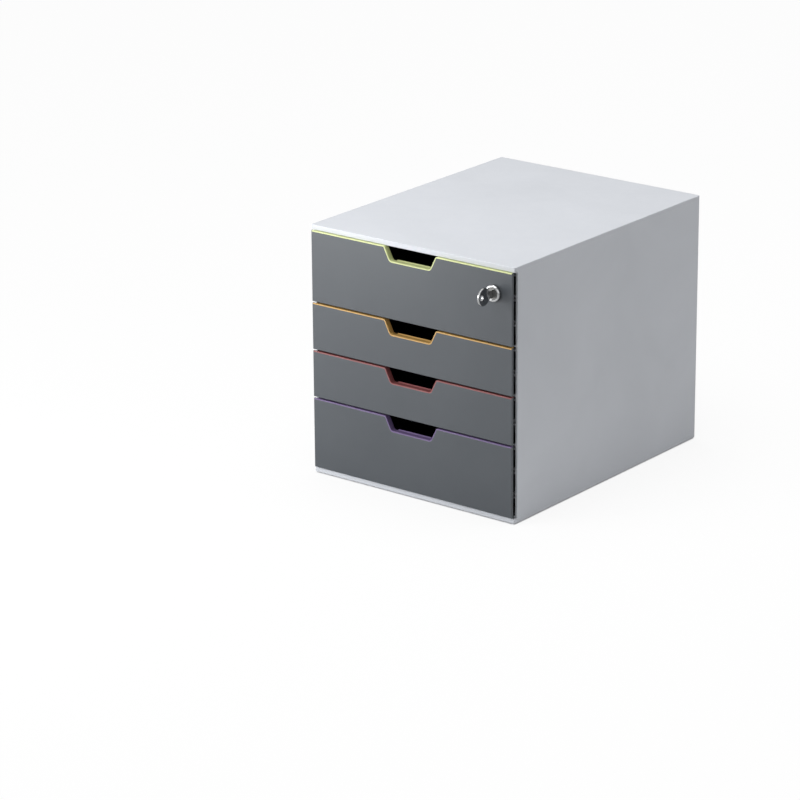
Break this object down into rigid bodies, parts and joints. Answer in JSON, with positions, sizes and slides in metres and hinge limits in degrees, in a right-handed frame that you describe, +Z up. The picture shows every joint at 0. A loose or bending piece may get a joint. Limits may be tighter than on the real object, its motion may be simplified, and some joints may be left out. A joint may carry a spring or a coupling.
{
  "type": "desktop file drawer",
  "caption": "Desktop drawer box for papers: stacked pull-out trays with coloured front edges and finger notches, the top one with a cam lock and key.",
  "frame": {"origin": "middle of the housing's footprint, on the plane that the four feet stand on", "axes": "+Z up, +Y from the drawer faces to the rear panel, +X to the right as seen by someone facing the drawers"},
  "size_m": [0.28, 0.385, 0.292],
  "materials": {
    "housing_plastic": "light grey moulded plastic with a fine satin grain",
    "drawer_plastic": "dark grey moulded plastic with a fine matt grain",
    "lime_plastic": "lime green moulded plastic, satin",
    "orange_plastic": "orange moulded plastic, satin",
    "red_plastic": "red moulded plastic, satin",
    "purple_plastic": "purple moulded plastic, satin",
    "chromed_metal": "polished nickel and chrome plate on the lock and key",
    "plated_steel": "zinc plated steel of the nut, cam and screw",
    "wafer_brass": "plain stamped brass",
    "foot_rubber": "black rubber"
  },
  "bodies": {
    "housing": {"side_panel_left": "housing_plastic", "side_panel_right": "housing_plastic", "top_panel": "housing_plastic", "base_panel": "housing_plastic", "rear_panel": "housing_plastic", "rubber_foot_front_left": "foot_rubber", "rubber_foot_front_right": "foot_rubber", "rubber_foot_rear_left": "foot_rubber", "rubber_foot_rear_right": "foot_rubber"},
    "drawer_1": {"drawer_1_tray": "drawer_plastic", "drawer_1_front_cover": "drawer_plastic", "drawer_1_colour_strip": "lime_plastic", "lock_barrel": "chromed_metal", "lock_nut": "plated_steel"},
    "drawer_2": {"drawer_2_tray": "drawer_plastic", "drawer_2_front_cover": "drawer_plastic", "drawer_2_colour_strip": "orange_plastic"},
    "drawer_3": {"drawer_3_tray": "drawer_plastic", "drawer_3_front_cover": "drawer_plastic", "drawer_3_colour_strip": "red_plastic"},
    "drawer_4": {"drawer_4_tray": "drawer_plastic", "drawer_4_front_cover": "drawer_plastic", "drawer_4_colour_strip": "purple_plastic"},
    "lock_core": {"lock_plug": "chromed_metal", "lock_wafers": "wafer_brass", "lock_cam": "plated_steel", "lock_cam_screw": "plated_steel"},
    "key": {"key": "chromed_metal"}
  },
  "joints": [
    {"name": "drawer_1_slide", "type": "slide", "parent": "housing", "child": "drawer_1", "axis": [0, -1, 0], "range_m": [0, 0.255]},
    {"name": "drawer_2_slide", "type": "slide", "parent": "housing", "child": "drawer_2", "axis": [0, -1, 0], "range_m": [0, 0.255]},
    {"name": "drawer_3_slide", "type": "slide", "parent": "housing", "child": "drawer_3", "axis": [0, -1, 0], "range_m": [0, 0.255]},
    {"name": "drawer_4_slide", "type": "slide", "parent": "housing", "child": "drawer_4", "axis": [0, -1, 0], "range_m": [0, 0.255]},
    {"name": "lock_turn", "type": "hinge", "parent": "drawer_1", "child": "lock_core", "pos_m": [0.114, -0.1589, 0.2602], "axis": [0, 1, 0], "range_deg": [0, 90]},
    {"name": "key_pull", "type": "slide", "parent": "lock_core", "child": "key", "axis": [0, -1, 0], "range_m": [0, 0.022]}
  ]
}
